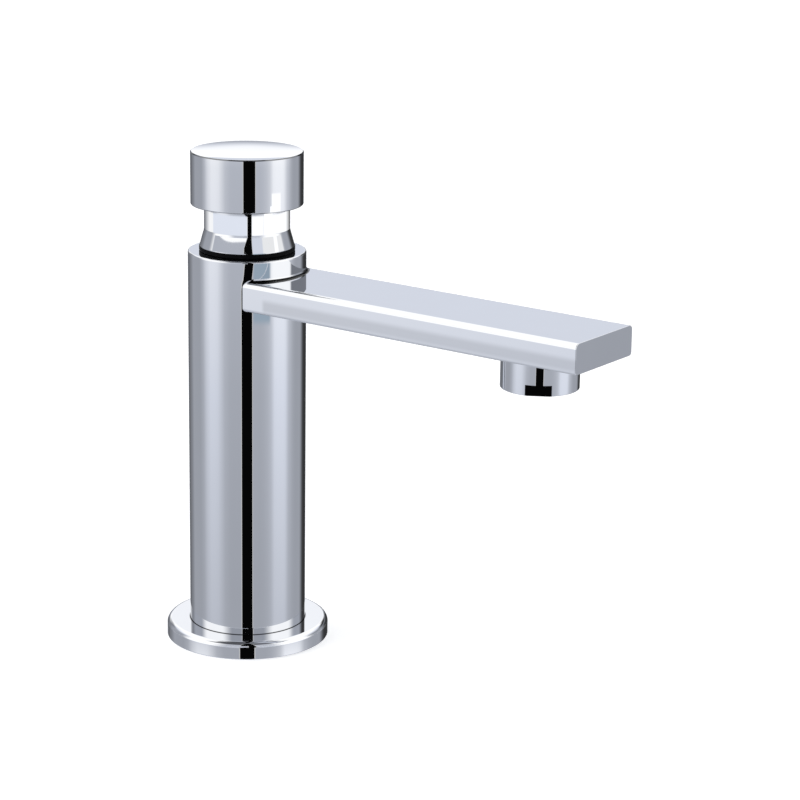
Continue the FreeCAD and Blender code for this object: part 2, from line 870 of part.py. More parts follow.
def washer_nut():
    """Nut at the stem's foot that clamps the cup and washer."""
    prism = hexagon(washer_nut_across_flats, washer_nut_foot_z, valve_cup_foot_z)
    return prism.cut(cylinder(stem_radius, washer_nut_foot_z - overcut, valve_cup_foot_z + overcut))


pieces = [
    base_flange, deck_gasket, base_plug, plug_seal, inlet_strainer, body_column, spout,
    aerator_housing, aerator_gasket, aerator_screen, aerator_jet_plate, aerator_regulator,
    valve_seat, seat_gasket, cartridge_sleeve, sleeve_seal, bonnet, bonnet_ring, guide_bush,
    stem_gland, metering_pin, stem_seal, return_spring,
    button_cap, button_liner, stem, stem_locknut, piston, piston_cup_seal, piston_keeper,
    piston_circlip, valve_washer, valve_cup, washer_nut,
]

os.makedirs("parts", exist_ok=True)
for make in pieces:
    shape = make()
    shape.exportStep("parts/" + make.__name__ + ".step")
    print(make.__name__, len(shape.Solids), shape.isValid(), round(shape.Volume, 1))
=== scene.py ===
"""Looks of a self-closing push-button basin tap: smooth chrome skins for the pieces that show,
a finish for every piece, and a plain pale studio seen from the photograph's side.
Outlines are in millimetres and become metres where a mesh is made."""
import json
import math

import bpy
import numpy as np
from mathutils import Matrix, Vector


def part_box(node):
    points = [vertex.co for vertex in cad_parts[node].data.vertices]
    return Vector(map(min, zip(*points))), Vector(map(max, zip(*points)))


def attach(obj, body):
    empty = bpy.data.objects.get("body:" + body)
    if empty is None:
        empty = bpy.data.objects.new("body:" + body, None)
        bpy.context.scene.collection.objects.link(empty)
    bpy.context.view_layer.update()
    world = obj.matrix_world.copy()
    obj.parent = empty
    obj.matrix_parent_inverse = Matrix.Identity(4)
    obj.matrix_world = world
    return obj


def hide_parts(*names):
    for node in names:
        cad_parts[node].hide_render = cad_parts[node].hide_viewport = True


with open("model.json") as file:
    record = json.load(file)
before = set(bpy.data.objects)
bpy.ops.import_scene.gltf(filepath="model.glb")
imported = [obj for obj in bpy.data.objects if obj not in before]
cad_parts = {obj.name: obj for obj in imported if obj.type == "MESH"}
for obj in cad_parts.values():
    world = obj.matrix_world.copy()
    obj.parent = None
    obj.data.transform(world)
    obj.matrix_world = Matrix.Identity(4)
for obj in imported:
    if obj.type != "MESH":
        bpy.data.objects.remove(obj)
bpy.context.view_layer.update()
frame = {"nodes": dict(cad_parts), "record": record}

MM = 0.001

# Camera, fitted to the edges of the tap in the photograph
camera_azimuth = 35.933
camera_pitch = 15.552
camera_roll = 0.831
camera_place = (579.88, -706.63, 343.05)
camera_lens = 118.58
camera_sensor = 36.0
camera_clip = 0.01

# Steps round a turned piece, points on a rounded corner and on a tiny one, and the tiny one's radius
turn_steps = 192
arc_points = 9
tiny_arc_points = 3
tiny_round = 0.08

# Dark joint lines on the plating where the column meets its flange and the bar meets the column, and two
# painted marks on the button: a painted dark reflection line round its rim bevel and painted shade along its
# lower edge. Their reach beyond the button's rim bevel, the column's foot and the bar's root, the height of
# the painted shade along the button's lower edge, the softness, and how far outside the column the bar's line
# starts
line_reach = 0.16
foot_seam = 0.25
root_line = 0.65
painted_lower_shade_height = 0.35
line_softness = 0.03
root_line_start = 0.1

# Strength of the joint lines, of the painted rim line and painted lower shade on the button, and of the faint
# painted shade on the bar's sides. The painted shade starts at the inset from the side and at the root, each
# with its own softness, and fades in and out over its foot's height.
foot_strength = 0.65
painted_rim_line_strength = 0.75
painted_lower_shade_strength = 0.5
painted_side_shade_strength = 0.2
side_shade_foot = 1.2
side_shade_inset = 0.3
side_shade_softness = 0.2
side_shade_root_softness = 1.0

# Column
column_rim_round = 0.6
column_wall = 3.5
seat_hole_radius = 8.0
seat_rim_height = 1.6
cavity_cone = 4.0
chamber_radius = 14.4
bonnet_bore_radius = 15.05

# Flange
flange_edge_round = 2.0
flange_foot_round = 0.3
foot_recess_radius = 21.1
foot_recess_depth = 2.1
flange_bore_radius = 17.55
head_bore_radius = 20.3
head_bore_depth = 2.4
groove_gap = 0.1

# Button
button_edge_bevel = 0.35
button_foot_round = 0.5
button_wall = 1.95
button_roof = 2.4
crown_drop = 0.115
crown_steps = 24
boss_radius = 5.0
boss_drop = 5.2
stem_socket_roof = 1.2

# Neck. The flare's front turns dark at lens_rise above the ring.
neck_radius = 15.2
neck_bore_radius = 12.6
neck_rim_round = 0.5
neck_thread_radius = 15.0
flare_radius = 16.8
flare_lip = 0.3
flare_height = 6.0
flare_round = 3.0
lens_rise = 4.4
sleeve_bore_radius = 12.35
bush_hole_radius = 5.0
ring_bevel = 0.4

# Spout and aerator collar
spout_top_round = 1.8
spout_bottom_round = 1.2
spout_end_round = 0.22
section_spacing = 0.8
root_rows = 10
root_fillet = 1.2
root_fillet_side = 0.12
collar_bore_radius = 10.6
collar_lip_width = 0.9
collar_lip_height = 1.4
collar_shoulder = 1.2
collar_edge_round = 0.3
flat_width = 8.8
flat_height = 3.7
flat_turn = -59.0
flat_ledge = 0.02
flat_steps = 12
flat_tolerance = 1e-9
round_steps = 70

# Return spring, whose skin is made in two halves that slide past each other as the button goes down
spring_wire = 1.6
spring_turns = 5.0
half_turns = 2.4
wire_points = 12
turn_points = 48

# Floor and lamp
floor_reach = 4000.0
floor_level = 0.9
floor_lift = 0.42
lamp_place = (-700.0, -500.0, 1300.0)
lamp_size = 0.9
lamp_power = 6.0

# Dark flag in the camera's plane, with its sides as (level, left, right), and its grey border
flag_sides = ((-2500.0, -176.0, 150.0), (-80.0, -176.0, 150.0), (-74.0, -155.0, 142.0),
              (-70.0, -119.0, 142.0), (-56.0, -64.0, 224.0), (-50.1, -64.0, 224.0),
              (-50.0, 18.0, 186.0), (-29.1, 18.0, 186.0), (-29.0, 18.0, 268.0),
              (-26.1, 18.0, 268.0), (-26.0, -120.0, 268.0), (17.0, -120.0, 268.0),
              (18.0, 18.0, 186.0), (330.0, 18.0, 186.0), (331.0, -172.0, 165.0),
              (356.0, -172.0, 165.0), (357.0, 18.0, 186.0), (450.0, 18.0, 186.0),
              (451.0, -125.0, 210.0), (459.5, -125.0, 210.0), (465.0, 0.0, 190.0),
              (470.0, 18.0, 186.0), (471.0, -172.0, 165.0), (6000.0, -172.0, 165.0))
flag_level = 0.002
flag_border = 20.0
flag_border_level = 0.62

# Tint of the studio's greys: less red and more blue, fading out over a span below a level
tint_end = 1.1
tint_span = 0.3
less_red = 0.045
more_blue = 0.115

# Studio panels, as (elevation, level) stops, with elevations in degrees
front_levels = ((-60, 0.60), (-35, 0.50), (-20, 0.40), (-15.4, 0.435), (-12.6, 0.49), (-10.3, 0.52),
                (-9.3, 0.90), (-8, 1.16), (90, 1.16))
softbox_levels = ((-60, 0.60), (-30, 0.80), (-21.0, 0.98), (-20.5, 0.60), (-15.4, 0.80),
                  (-12.6, 0.93), (-10.8, 0.99), (-10.5, 1.0), (-10.46, 1.17), (90, 1.17))
wing_levels = ((-60, 0.60), (-35, 0.50), (-25, 0.38), (-5, 0.38), (10, 0.40), (22, 0.44),
               (30, 0.85), (38, 1.15))
back_levels = ((-60, 0.60), (-32, 0.45), (-22, 0.24), (-7, 0.22), (-4, 0.30), (6, 0.38), (8.12, 0.38),
               (8.82, 0.57), (9.53, 0.90), (10.24, 1.16), (15, 1.16), (20, 1.0), (26, 1.16))
above_levels = ((20.8, 0.38), (23, 0.42), (27, 0.55))

# How far the softboxes, the wings' dark edge and the neck's strip reach, as (azimuth, share) stops in degrees
softbox_shares = ((-106, 0.0), (-95.5, 0.12), (-86, 0.56), (-77, 0.82), (-68, 0.82), (-60, 0.75),
                  (-52, 0.45), (-45, 0.16), (-35, 0.02), (-28, 0.0), (25, 0.0), (32, 0.05),
                  (40, 0.17), (47, 0.38), (54.8, 0.93), (62, 1.0), (75, 1.0), (80, 0.9),
                  (89, 0.27), (99, 0.08), (110, 0.0))
dark_edge_shares = ((-166, 0.0), (-158, 0.5), (-142, 0.4), (-130, 0.0), (126, 0.0), (138, 0.85),
                    (144, 0.97), (162, 0.97), (170, 0.0))
strip_shares = ((-157, 0.0), (-134, 0.4), (-119, 1.0), (125, 1.0), (140, 0.55), (157, 0.15), (165, 0.0))

# Edges of the panels, as (place, softness), and bands, as (from, to, softness), in degrees
wing_edge = (97.0, 10.0)
back_edge = (152.0, 6.0)
back_band_edge = (167.0, 2.0)
back_band = (11.6, 14.6, 0.1)
back_band_level = 0.75
dark_edge_top = (26.0, 3.0)
dark_edge_level = 0.03
inner_edge = (42.0, 12.0)
above_edge = (19.85, 0.1)
zenith_edge = (68.0, 3.0)
overhead_side = (80.0, 10.0)
overhead_edge = (50.0, 2.0)
overhead_level = 0.10

# What the flare mirrors: the lens on its front, a bright patch, and zones to the left and right. A gap is how
# far a place lies below the flare's own elevation.
lens_foot = (-9.0, 0.2)
lens_gap = (0.7, 0.1)
lens_level = 0.60
bright_sides = (10.0, 78.0, 3.0)
bright_band = (11.3, 12.3, 0.05)
bright_level = 1.35
left_gap = (0.0, 0.7, 0.015)
left_sides = (-94.0, 2.0, 2.0)
left_level = 0.50
right_gap = (-0.3, 0.7, 0.03)
right_pause = (11.3, 13.2, 0.1)
right_sides = (2.0, 100.0, 2.0)
right_level = 0.92
right_grey_sides = (2.0, 40.0, 2.0)
right_grey_level = 0.74

# What the column mirrors beside the bar's root, and the dark end of the wing on the right
root_sides = (12.0, 45.0, 3.0)
root_low_band = (-13.9, -12.2, 0.1)
root_high_band = (12.35, 13.6, 0.1)
root_colour = (0.33, 0.41, 0.49, 1.0)
wing_end_sides = (94.0, 168.0, 3.0)
wing_end_band = (11.0, 16.0, 0.4)
wing_end_level = 0.22

# Thin bright strip that the straight neck mirrors, and the glint above it
strip_band = (-12.2, -11.59, 0.012)
strip_bend = 0.0000069
strip_middle = (0.0, 2.0)
strip_white = 1.16
strip_blue = (0.84, 0.88, 0.97, 1.0)
strip_far_left = (-103.0, 2.0)
strip_far_level = 1.05
glint_sides = (51.0, 72.0, 1.0)
glint_band = (-11.59, -11.12, 0.012)


def box_mm(node):
    """Lowest and highest corner of a node of the frame, in millimetres."""
    low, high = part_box(node)
    return np.array(low) / MM, np.array(high) / MM


def rounded(corners, closed=True, spacing=None):
    """Outline with rounded corners, as points and their outward normals. A corner is
    (u, v, radius), and the inside is to the left of the way round. An arc of radius r touches
    both sides of a corner of angle 2a at r / tan(a) from it, and its centre lies r / sin(a)
    along the bisector. A normal is the arc's spoke, turned round on a hollow corner, so that
    straight sides stay flat. With a spacing, long sides are divided evenly."""
    places = np.array([corner[:2] for corner in corners], float)
    count = len(corners)
    points, normals = [], []
    for index, corner in enumerate(corners):
        here = places[index]
        before = places[index - 1] - here
        after = places[(index + 1) % count] - here
        before /= np.linalg.norm(before)
        after /= np.linalg.norm(after)
        if not closed and index in (0, count - 1):
            way = after if index == 0 else -before
            points.append(here[None])
            normals.append(np.array([[way[1], -way[0]]]))
            continue
        half = math.acos(np.clip(before @ after, -1.0, 1.0)) / 2.0
        bisector = (before + after) / np.linalg.norm(before + after)
        centre = here + bisector * corner[2] / math.sin(half)
        side = 1.0 if before[1] * after[0] > before[0] * after[1] else -1.0
        first = side * np.array([-before[1], before[0]])
        steps = arc_points if corner[2] > tiny_round else tiny_arc_points
        turn = np.linspace(0.0, side * (math.pi - 2.0 * half), steps)
        spoke = np.stack([first[0] * np.cos(turn) - first[1] * np.sin(turn),
                          first[0] * np.sin(turn) + first[1] * np.cos(turn)], 1)
        points.append(centre + spoke * corner[2])
        normals.append(spoke * side)
    points, normals = np.concatenate(points), np.concatenate(normals)
    if spacing:
        ends, end_normals = np.roll(points, -1, 0), np.roll(normals, -1, 0)
        pieces = np.maximum(1, np.ceil(np.linalg.norm(ends - points, axis=1) / spacing)).astype(int)
        side = np.repeat(np.arange(len(points)), pieces)
        share = (np.arange(len(side)) - np.repeat(np.cumsum(pieces) - pieces, pieces)) / pieces[side]
        points = points[side] + (ends - points)[side] * share[:, None]
        normals = normals[side] + (end_normals - normals)[side] * share[:, None]
    return points, normals / np.linalg.norm(normals, axis=1)[:, None]


def skin(name, points, normals, closed_rows=False, poles=(), flat_faces=None):
    """Closed mesh from a grid of points in millimetres, rows by columns, with a normal at each.
    Its columns close on themselves, and its rows too if closed_rows is set. A pole
    (place, normal, row) is the tip of a fan on a row. flat_faces holds a normal for each face
    that stays flat, and not-a-number for the others."""
    rows, columns = points.shape[:2]
    last = rows if closed_rows else rows - 1
    row, column = np.meshgrid(np.arange(last), np.arange(columns), indexing="ij")
    after_row, after_column = (row + 1) % rows, (column + 1) % columns
    quads = np.stack([row * columns + column, row * columns + after_column,
                      after_row * columns + after_column, after_row * columns + column], -1).reshape(-1, 4)
    places, ways = points.reshape(-1, 3), normals.reshape(-1, 3)
    corner = places[quads]
    facing = np.cross(corner[:, 2] - corner[:, 0], corner[:, 3] - corner[:, 1])
    if np.sum(facing * ways[quads[:, 0]]) < 0:
        quads = quads[:, ::-1]
    faces = quads.tolist()
    for place, way, rim in poles:
        start = rim * columns + np.arange(columns)
        after = rim * columns + (np.arange(columns) + 1) % columns
        fan = np.stack([start, after, np.full(columns, len(places))], 1)
        places = np.vstack([places, place])
        ways = np.vstack([ways, way])
        first = places[fan[0]]
        if np.cross(first[1] - first[0], first[2] - first[0]) @ np.array(way, float) < 0:
            fan = fan[:, ::-1]
        faces += fan.tolist()
    ways = ways / np.linalg.norm(ways, axis=1)[:, None]
    mesh = bpy.data.meshes.new(name)
    mesh.from_pydata((places * MM).tolist(), [], faces, shade_flat=False)
    if flat_faces is None:
        mesh.normals_split_custom_set_from_vertices(ways.tolist())
    else:
        corner_ways = ways[np.concatenate([np.array(face) for face in faces])]
        level = np.repeat(flat_faces, 4, 0)
        chosen = np.flatnonzero(~np.isnan(level[:, 0]))
        corner_ways[chosen] = level[chosen]
        mesh.normals_split_custom_set(corner_ways.tolist())
    piece = bpy.data.objects.new(name, mesh)
    bpy.context.scene.collection.objects.link(piece)
    return piece


def turned(name, corners, closed=True):
    """Turned surface from the corners of its outline."""
    return revolved(name, *rounded(corners, closed), closed)


def revolved(name, outline, slope, closed=True):
    """Surface of revolution about the upright axis: a point (r, z) of the outline goes to
    (r cos t, r sin t, z) for t once round. An outline that isn't closed starts and ends on the
    axis, at poles."""
    poles = []
    if not closed:
        poles = [((0.0, 0.0, outline[0, 1]), (0.0, 0.0, slope[0, 1]), 0),
                 ((0.0, 0.0, outline[-1, 1]), (0.0, 0.0, slope[-1, 1]), len(outline) - 3)]
        outline, slope = outline[1:-1], slope[1:-1]
    turn = np.linspace(0.0, 2.0 * math.pi, turn_steps, endpoint=False)
    across = np.stack([np.cos(turn), np.sin(turn), np.zeros(turn_steps)], 1)
    upward = np.array([0.0, 0.0, 1.0])
    points = outline[:, 0, None, None] * across + outline[:, 1, None, None] * upward
    normals = slope[:, 0, None, None] * across + slope[:, 1, None, None] * upward
    return skin(name, points, normals, closed_rows=closed, poles=poles)


def column_piece():
    """Chrome column with a rounded rim, its bore, the web under the valve seat and the
    cartridge's chamber."""
    low, high = box_mm("body_column")
    radius, foot, top = high[0], low[2], high[2]
    cavity = radius - column_wall
    web_underside = box_mm("valve_seat")[0][2] + seat_rim_height
    floor = box_mm("seat_gasket")[0][2]
    thread_foot = box_mm("bonnet")[0][2]
    return turned("column_chrome", [
        (cavity, foot, tiny_round), (radius, foot, tiny_round),
        (radius, top, column_rim_round), (bonnet_bore_radius, top, tiny_round),
        (bonnet_bore_radius, thread_foot, tiny_round), (chamber_radius, thread_foot, tiny_round),
        (chamber_radius, floor, tiny_round), (seat_hole_radius, floor, tiny_round),
        (seat_hole_radius, web_underside, tiny_round), (cavity - cavity_cone, web_underside, tiny_round),
        (cavity, web_underside - cavity_cone, tiny_round)])


def flange_piece():
    """Round chrome foot with a softened top edge, a recess for the column and a groove for the gasket."""
    low, high = box_mm("base_flange")
    radius, top = high[0], high[2]
    gasket = box_mm("deck_gasket")[1]
    groove_low = gasket[0] - gasket_width() - groove_gap
    groove_high = gasket[0] + groove_gap
    return turned("flange_chrome", [
        (flange_bore_radius, head_bore_depth, tiny_round), (head_bore_radius, head_bore_depth, tiny_round),
        (head_bore_radius, 0.0, tiny_round), (groove_low, 0.0, tiny_round),
        (groove_low, gasket[2], tiny_round), (groove_high, gasket[2], tiny_round),
        (groove_high, 0.0, tiny_round), (radius, 0.0, flange_foot_round),
        (radius, top, flange_edge_round), (foot_recess_radius, top, tiny_round),
        (foot_recess_radius, top - foot_recess_depth, tiny_round),
        (flange_bore_radius, top - foot_recess_depth, tiny_round)])


def gasket_width():
    """Width of the deck gasket, from its own mesh: its largest less its smallest radius."""
    mesh = frame["nodes"]["deck_gasket"].data
    place = np.empty(len(mesh.vertices) * 3)
    mesh.vertices.foreach_get("co", place)
    radius = np.hypot(place[0::3], place[1::3]) / MM
    return radius.max() - radius.min()


def button_piece():
    """Push button: a cup with a bevelled rim, a rounded foot and a boss inside. Its top is
    faintly crowned: at a share s of the bevel's inner radius R the level is top - drop s^3, and
    so the slope is 3 drop s^2 / R."""
    low, high = box_mm("button_cap")
    radius, foot, top = high[0], low[2], high[2]
    ceiling = top - button_roof
    bore = radius - button_wall
    stem_top = top - stem_socket_roof
    stem_radius = box_mm("stem")[1][0]
    rim = radius - button_edge_bevel
    rim_top = top - crown_drop
    outline, slope = rounded([
        (0.0, stem_top, 0.0), (stem_radius, stem_top, tiny_round), (stem_radius, top - boss_drop, tiny_round),
        (boss_radius, top - boss_drop, tiny_round), (boss_radius, ceiling, tiny_round),
        (bore, ceiling, tiny_round), (bore, foot, tiny_round), (radius, foot, button_foot_round),
        (radius, rim_top - button_edge_bevel, tiny_round), (rim, rim_top, tiny_round),
        (0.0, rim_top, 0.0)], closed=False)
    share = np.linspace(rim - tiny_round, 0.0, crown_steps) / rim
    crown = np.column_stack([share * rim, top - crown_drop * share ** 3])
    lean = np.column_stack([3.0 * crown_drop / rim * share ** 2, np.ones(crown_steps)])
    outline = np.vstack([outline[:-1], crown])
    slope = np.vstack([slope[:-1], lean])
    return revolved("button_chrome", outline, slope, closed=False)


def neck_piece():
    """Bonnet: its thread, the flare over the ring, the straight neck and the web that guides the stem."""
    low, high = box_mm("bonnet")
    foot, top = low[2], high[2]
    ring_top = box_mm("bonnet_ring")[1][2]
    web_low = box_mm("guide_bush")[0][2]
    web_high = box_mm("return_spring")[0][2]
    return turned("neck_chrome", [
        (sleeve_bore_radius, foot, tiny_round), (neck_thread_radius, foot, tiny_round),
        (neck_thread_radius, ring_top, tiny_round), (flare_radius, ring_top, tiny_round),
        (flare_radius, ring_top + flare_lip, tiny_round), (neck_radius, ring_top + flare_height, flare_round),
        (neck_radius, top, neck_rim_round), (neck_bore_radius, top, tiny_round),
        (neck_bore_radius, web_high, tiny_round), (bush_hole_radius, web_high, tiny_round),
        (bush_hole_radius, web_low, tiny_round), (sleeve_bore_radius, web_low, tiny_round)])


def ring_piece():
    """Black ring under the flare, with a bevel at its foot."""
    low, high = box_mm("bonnet_ring")
    radius, foot, top = high[0], low[2], high[2]
    return turned("neck_ring_black", [
        (bonnet_bore_radius, foot, tiny_round), (radius - ring_bevel, foot, tiny_round),
        (radius, foot + ring_bevel, tiny_round), (radius, top, tiny_round),
        (bonnet_bore_radius, top, tiny_round)])


def spout_section():
    """Outline of the bar across its length, as (y, z) points and normals."""
    low, high = box_mm("spout")
    half, foot, top = high[1], low[2], high[2]
    return rounded([(-half, foot, spout_bottom_round), (half, foot, spout_bottom_round),
                    (half, top, spout_top_round), (-half, top, spout_top_round)], spacing=section_spacing)


def spout_piece():
    """Flat bar: its section runs from the column's round, x = sqrt(R^2 - y^2), to the end,
    where a small round b turns it in by b (1 - cos t) and out by b sin t for t from 0 to 90
    degrees. The root is closed by the column's round itself, on smaller and smaller copies of
    the section, and the end by a flat fan."""
    section, slope = spout_section()
    column_radius = box_mm("body_column")[1][0]
    end = box_mm("spout")[1][0]
    middle = np.array([0.0, section[:, 1].mean()])
    flat = np.column_stack([np.zeros(len(section)), slope])
    rows, ways = [], []
    for share in np.linspace(1.0 / root_rows, 1.0, root_rows):
        inside = middle + (section - middle) * share
        reach = np.sqrt(column_radius ** 2 - inside[:, 0] ** 2)
        rows.append(np.column_stack([reach, inside]))
        ways.append(np.column_stack([-reach, -inside[:, 0], np.zeros(len(section))]))
    ways[-1] = flat
    for turn in np.linspace(0.0, math.pi / 2.0, arc_points):
        reach = np.full(len(section), end - spout_end_round * (1.0 - math.sin(turn)))
        rows.append(np.column_stack([reach, section - slope * spout_end_round * (1.0 - math.cos(turn))]))
        ways.append(flat * math.cos(turn) + np.array([math.sin(turn), 0.0, 0.0]))
    poles = [((column_radius, *middle), (-1.0, 0.0, 0.0), 0),
             ((end, *middle), (1.0, 0.0, 0.0), len(rows) - 1)]
    return skin("spout_chrome", np.array(rows), np.array(ways), poles=poles)


def root_fillet_piece():
    """Small hollow round where the bar meets the column. A ball of radius r rolls round the bar, its centre
    c at r from the bar and r from the column. The surface is c - r w, where w turns evenly from the
    column's normal to the bar's, and the strip is closed along the corner that it fills. The radius is
    largest on top of the bar, as r = side + (top - side) n^2 with the upward part n of the bar's normal."""
    section, slope = spout_section()
    column_radius = box_mm("body_column")[1][0]
    flat = np.column_stack([np.zeros(len(section)), slope])
    radius = root_fillet_side + (root_fillet - root_fillet_side) * np.maximum(0.0, slope[:, 1:]) ** 2
    out = section + slope * radius
    reach = np.sqrt((column_radius + radius[:, 0]) ** 2 - out[:, 0] ** 2)
    centre = np.column_stack([reach, out])
    radial = np.column_stack([reach, out[:, 0], np.zeros(len(section))]) / (column_radius + radius)
    angle = np.arccos(np.sum(radial * flat, 1))[:, None]
    rows, ways = [], []
    for share in np.linspace(0.0, 1.0, arc_points):
        way = (np.sin((1.0 - share) * angle) * radial + np.sin(share * angle) * flat) / np.sin(angle)
        rows.append(centre - way * radius)
        ways.append(way)
    rows.append(np.column_stack([np.sqrt(column_radius ** 2 - section[:, 0] ** 2), section]))
    ways.append(-(radial + flat))
    return skin("spout_root_fillet", np.array(rows), np.array(ways), closed_rows=True)


def collar_piece():
    """Aerator collar, turned, with two spanner flats at its foot. In a flat's sector, cos(t - turn) R > d,
    the radius is d / cos(t - turn) up to the flat's height, and a ledge leads back out to the round."""
    low, high = box_mm("aerator_housing")
    centre = (low[0] + high[0]) / 2.0
    radius = high[1]
    foot, top = low[2], high[2]
    under = box_mm("spout")[0][2]
    lip = foot + collar_lip_height
    lip_radius = collar_bore_radius - collar_lip_width
    ledge = foot + flat_height
    outline, slope = rounded([
        (lip_radius, foot, tiny_round), (radius, foot, collar_edge_round), (radius, under, tiny_round),
        (radius - collar_shoulder, under, tiny_round), (radius - collar_shoulder, top, tiny_round),
        (collar_bore_radius, top, tiny_round), (collar_bore_radius, lip, tiny_round),
        (lip_radius, lip, tiny_round)])
    cut = tiny_arc_points + arc_points
    outline = np.insert(outline, cut, [[radius, ledge], [radius, ledge + flat_ledge]], 0)
    slope = np.insert(slope, cut, [[1.0, 0.0], [1.0, 0.0]], 0)
    distance = math.sqrt(radius ** 2 - (flat_width / 2.0) ** 2)
    spread = math.acos(distance / radius)
    sector = np.concatenate([np.linspace(-spread, spread, flat_steps + 1)[:-1],
                             np.linspace(spread, math.pi - spread, round_steps + 1)[:-1]])
    turn = np.concatenate([sector, sector + math.pi])
    facing = np.cos(turn)
    limit = np.where(np.abs(facing) > distance / radius - flat_tolerance, distance / np.abs(facing), radius)
    across = np.stack([np.cos(turn + math.radians(flat_turn)), np.sin(turn + math.radians(flat_turn)),
                       np.zeros(len(turn))], 1)
    reach = np.repeat(outline[:, 0, None], len(turn), 1)
    reach[:cut + 1] = np.minimum(reach[:cut + 1], limit)
    upward = np.array([0.0, 0.0, 1.0])
    points = reach[..., None] * across + outline[:, 1, None, None] * upward + np.array([centre, 0.0, 0.0])
    normals = slope[:, 0, None, None] * across + slope[:, 1, None, None] * upward
    flat_faces = np.full((len(outline), len(turn), 3), np.nan)
    chosen = np.flatnonzero(np.abs(np.cos(turn + spread / flat_steps)) > distance / radius)
    outward = np.array([math.cos(math.radians(flat_turn)), math.sin(math.radians(flat_turn)), 0.0])
    flat_faces[tiny_arc_points:cut, chosen] = np.sign(facing)[chosen, None] * outward
    flat_faces[cut, chosen] = -upward
    return skin("aerator_collar", points, normals, closed_rows=True, flat_faces=flat_faces.reshape(-1, 3))


def spring_halves():
    """Lower and upper half of the return spring, on one helix of pitch p. The lower one starts at the
    foot. The upper one ends at the top, and once it has gone down with the button by the travel, its
    phase is half a turn from the lower one's, so that its coils lie midway between the others."""
    low, high = box_mm("return_spring")
    travel = frame["record"]["behaviour"]["joints"][0]["range_m"][1] / MM
    foot = low[2] + spring_wire / 2.0
    pitch = (high[2] - low[2] - spring_wire) / spring_turns
    start = high[2] - spring_wire / 2.0 - half_turns * pitch
    phase = 2.0 * math.pi * (start - travel - foot) / pitch + math.pi
    mean = high[0] - spring_wire / 2.0
    lower = coil("spring_lower_half", mean, pitch, foot, 0.0)
    upper = coil("spring_upper_half", mean, pitch, start, phase)
    return lower, upper


def coil(name, mean, pitch, foot, phase):
    """Wire of radius w on a helix: at a turn t its centre is (m cos(t + a), m sin(t + a), foot + p t / 2
    pi). The section is spanned by the radius and by its normal square to the wire,
    (-sin b sin, sin b cos, -cos b) for a slope b with tan b = p / (2 pi m), turned so that it points up."""
    turn = np.linspace(0.0, 2.0 * math.pi * half_turns, round(half_turns * turn_points) + 1)
    slope = math.atan2(pitch, 2.0 * math.pi * mean)
    across = np.stack([np.cos(turn + phase), np.sin(turn + phase), np.zeros(len(turn))], 1)
    along = np.stack([-across[:, 1], across[:, 0], np.zeros(len(turn))], 1)
    upward = np.array([0.0, 0.0, 1.0])
    centre = across * mean + upward * (foot + pitch * turn / (2.0 * math.pi))[:, None]
    square = upward * math.cos(slope) - along * math.sin(slope)
    ahead = along * math.cos(slope) + upward * math.sin(slope)
    spin = np.linspace(0.0, 2.0 * math.pi, wire_points, endpoint=False)[None, :, None]
    normals = across[:, None] * np.cos(spin) + square[:, None] * np.sin(spin)
    points = centre[:, None] + normals * spring_wire / 2.0
    poles = [(centre[0], -ahead[0], 0), (centre[-1], ahead[-1], len(turn) - 1)]
    return skin(name, points, normals, poles=poles)


class Wire:
    """One output of a shader node, with arithmetic that adds Math nodes beside it."""

    def __init__(self, tree, socket=None):
        self.tree = tree
        self.socket = socket

    def node(self, kind, settings, inputs, output=0):
        """Adds a node. Its settings come first, with a ramp's stops as (place, colour) pairs,
        then the values or wires of its inputs. Gives one of its outputs."""
        made = self.tree.nodes.new("ShaderNode" + kind)
        for name, setting in settings.items():
            if name == "stops":
                elements = made.color_ramp.elements
                while len(elements) < len(setting):
                    elements.new(0.5)
                for element, (place, colour) in zip(elements, setting):
                    element.position = place
                    element.color = colour
            else:
                setattr(made, name, setting)
        for name, value in inputs.items():
            if isinstance(value, Wire):
                self.tree.links.new(value.socket, made.inputs[name])
            else:
                made.inputs[name].default_value = value
        return Wire(self.tree, None if output is None else made.outputs[output])

    def maths(self, operation, *values):
        """Math node of an operation on this wire and other values."""
        return self.node("Math", {"operation": operation}, dict(enumerate((self, *values))))

    def __add__(self, other):
        return self.maths("ADD", other)

    def __radd__(self, other):
        return self.maths("ADD", other)

    def __sub__(self, other):
        return self.maths("SUBTRACT", other)

    def __rsub__(self, other):
        return self.node("Math", {"operation": "SUBTRACT"}, {0: other, 1: self})

    def __mul__(self, other):
        return self.maths("MULTIPLY", other)

    def __rmul__(self, other):
        return self.maths("MULTIPLY", other)

    def __abs__(self):
        return self.maths("ABSOLUTE")

    def rise(self, middle, softness):
        """0 below a value and 1 above it, with a smooth step of the given half-width."""
        return self.node("MapRange", {"interpolation_type": "SMOOTHSTEP"},
                         {"Value": self, "From Min": middle - softness, "From Max": middle + softness})

    def within(self, low, high, softness):
        """1 between two values and 0 outside, with soft edges."""
        return self.rise(low, softness) * (1.0 - self.rise(high, softness))

    def blend(self, first, second):
        """Colour that goes from the first to the second as this wire goes from 0 to 1."""
        return self.node("Mix", {"data_type": "RGBA"}, {0: self, 6: first, 7: second}, 2)


def grey(level):
    """Opaque neutral colour of a level."""
    return (level, level, level, 1.0)


def cool(level):
    """Slightly blue grey, as pale paper looks in daylight; it turns neutral towards full white."""
    tint = max(0.0, min(1.0, (tint_end - level) / tint_span))
    return (level * (1.0 - less_red * tint), level, level * (1.0 + more_blue * tint), 1.0)


def by_height(elevation, levels):
    """Colour of a studio panel that changes with the elevation in degrees, from
    (elevation, level) stops."""
    stops = [((degrees + 90.0) / 180.0, cool(level)) for degrees, level in levels]
    place = (elevation + 90.0) * (1.0 / 180.0)
    return place.node("ValToRGB", {"stops": stops}, {0: place})


